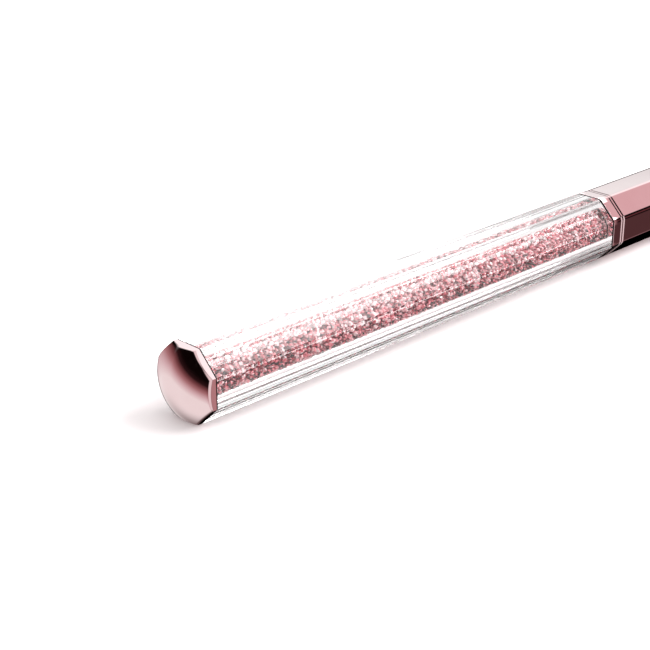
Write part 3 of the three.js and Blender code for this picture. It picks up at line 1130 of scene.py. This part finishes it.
    def blend(self, share: NodeSocket, first: Colour | NodeSocket, second: Colour | NodeSocket) -> NodeSocket:
        """Adds a mix of two colours.

        Args:
            share: How much of the second there is.
            first: The colour where the share is 0.
            second: The colour where it is 1.

        Returns:
            The mixed colour.
        """
        node = self.tree.nodes.new("ShaderNodeMix")
        node.data_type = "RGBA"
        self.tree.links.new(share, node.inputs["Factor"])
        first_input, second_input = node.inputs[6], node.inputs[7]
        self.give(first_input, first if isinstance(first, NodeSocket) else (*first, 1))
        self.give(second_input, second if isinstance(second, NodeSocket) else (*second, 1))
        return node.outputs[2]

    def give(self, socket: NodeSocket, value: float | tuple[float, ...] | NodeSocket) -> None:
        """Links a socket to another one, or sets its own value."""
        if isinstance(value, NodeSocket):
            self.tree.links.new(value, socket)
        else:
            socket.default_value = value


@dataclass
class Studio:
    """The pale table, the light and the camera.

    Attributes:
        azimuth: The camera's heading across the pen, in degrees from its axis.
        elevation: How far the camera looks down, in degrees.
        distance: From the camera to the pen's cap, in widths of the barrel.
        shift: How far the cap lies from the picture's middle, in the same widths, right and up.
        lens: Focal length for a sensor 36 mm wide.
        view_transform: How the picture's colours are shown.
        soft_box: Brightness of the mirrored soft box.
        key_power: Power of the large soft light, in watts.
        room_light: Brightness of the room for matt surfaces.
        key_heading: The direction of the large soft light, seen from the pen.
        key_distance: How far away it hangs.
        key_size: Its width.
        table_size: Half the table's width.
        table_colour: The table's colour.
        bounces: How often light may turn in all.
        bounces_through: How often it may pass through a clear surface.
        bounces_off: How often it may be mirrored.
    """

    azimuth: float = 45.52
    elevation: float = 23.24
    distance: float = 18.31
    shift: tuple[float, float] = (-1.636, -0.684)
    lens: float = 83.3
    view_transform: str = "Standard"
    soft_box: float = 4.5
    key_power: float = 6
    room_light: float = 1.3
    key_heading: tuple[float, float, float] = (0.567, -0.427, 0.704)
    key_distance: float = 0.7
    key_size: float = 0.5
    table_size: float = 3
    table_colour: Colour = (0.80, 0.755, 0.758)
    bounces: int = 20
    bounces_through: int = 16
    bounces_off: int = 8

    def build(self) -> None:
        """Sets up the camera, the light and the table."""
        self.camera()
        Room().build(self.soft_box, self.room_light)
        self.lights()
        self.floor()
        scene = bpy.context.scene
        scene.view_settings.view_transform = self.view_transform
        scene.cycles.max_bounces = self.bounces
        scene.cycles.transmission_bounces = self.bounces_through
        scene.cycles.glossy_bounces = self.bounces_off
        scene.cycles.use_denoising = True
        LOG.info("studio: camera, light and table")

    def camera(self) -> None:
        """Places the camera."""
        heading, drop = math.radians(self.azimuth), math.radians(self.elevation)
        forward = Vector((
            math.cos(heading) * math.cos(drop),
            math.sin(heading) * math.cos(drop),
            -math.sin(drop),
        ))
        right = forward.cross(Vector((0, 0, 1))).normalized()
        up = right.cross(forward)
        width = Span.of("clear_barrel").width
        target = Vector((Span.of("clear_barrel").start, 0, AXIS_HEIGHT))
        data = bpy.data.cameras.new("camera")
        data.lens = self.lens
        data.sensor_width = 36
        data.clip_start = 0.01
        camera = bpy.data.objects.new("camera", data)
        across, above = self.shift
        camera.location = target - width * (across * right + above * up + self.distance * forward)
        camera.rotation_mode = "QUATERNION"
        camera.rotation_quaternion = forward.to_track_quat("-Z", "Y")
        bpy.context.collection.objects.link(camera)
        bpy.context.scene.camera = camera

    def lights(self) -> None:
        """Hangs a large soft light above and to the right."""
        data = bpy.data.lights.new("key", "AREA")
        data.shape = "SQUARE"
        data.size = self.key_size
        data.energy = self.key_power
        key = bpy.data.objects.new("key", data)
        heading = Vector(self.key_heading)
        key.location = heading * self.key_distance
        key.rotation_mode = "QUATERNION"
        key.rotation_quaternion = heading.to_track_quat("Z", "Y")
        key.visible_glossy = False
        bpy.context.collection.objects.link(key)

    def floor(self) -> None:
        """Lays the pale table."""
        bm = bmesh.new()
        bmesh.ops.create_grid(bm, x_segments=1, y_segments=1, size=self.table_size)
        mesh = bpy.data.meshes.new("table")
        bm.to_mesh(mesh)
        bm.free()
        table = bpy.data.objects.new("table", mesh)
        bpy.context.collection.objects.link(table)
        shader = Shader("table_top")
        shader.set(Base_Color=self.table_colour, Roughness=0.5, Specular_IOR_Level=0.0)
        mesh.materials.append(shader.material)
        table.visible_glossy = False


def main() -> None:
    """Builds the pen and its setting."""
    logging.basicConfig(level=logging.INFO, format="%(name)s %(message)s")
    Studio().build()
    RearBarrel().build()
    FrontHalf().build()
    Mechanism().build()


if __name__ == "__main__":
    main()
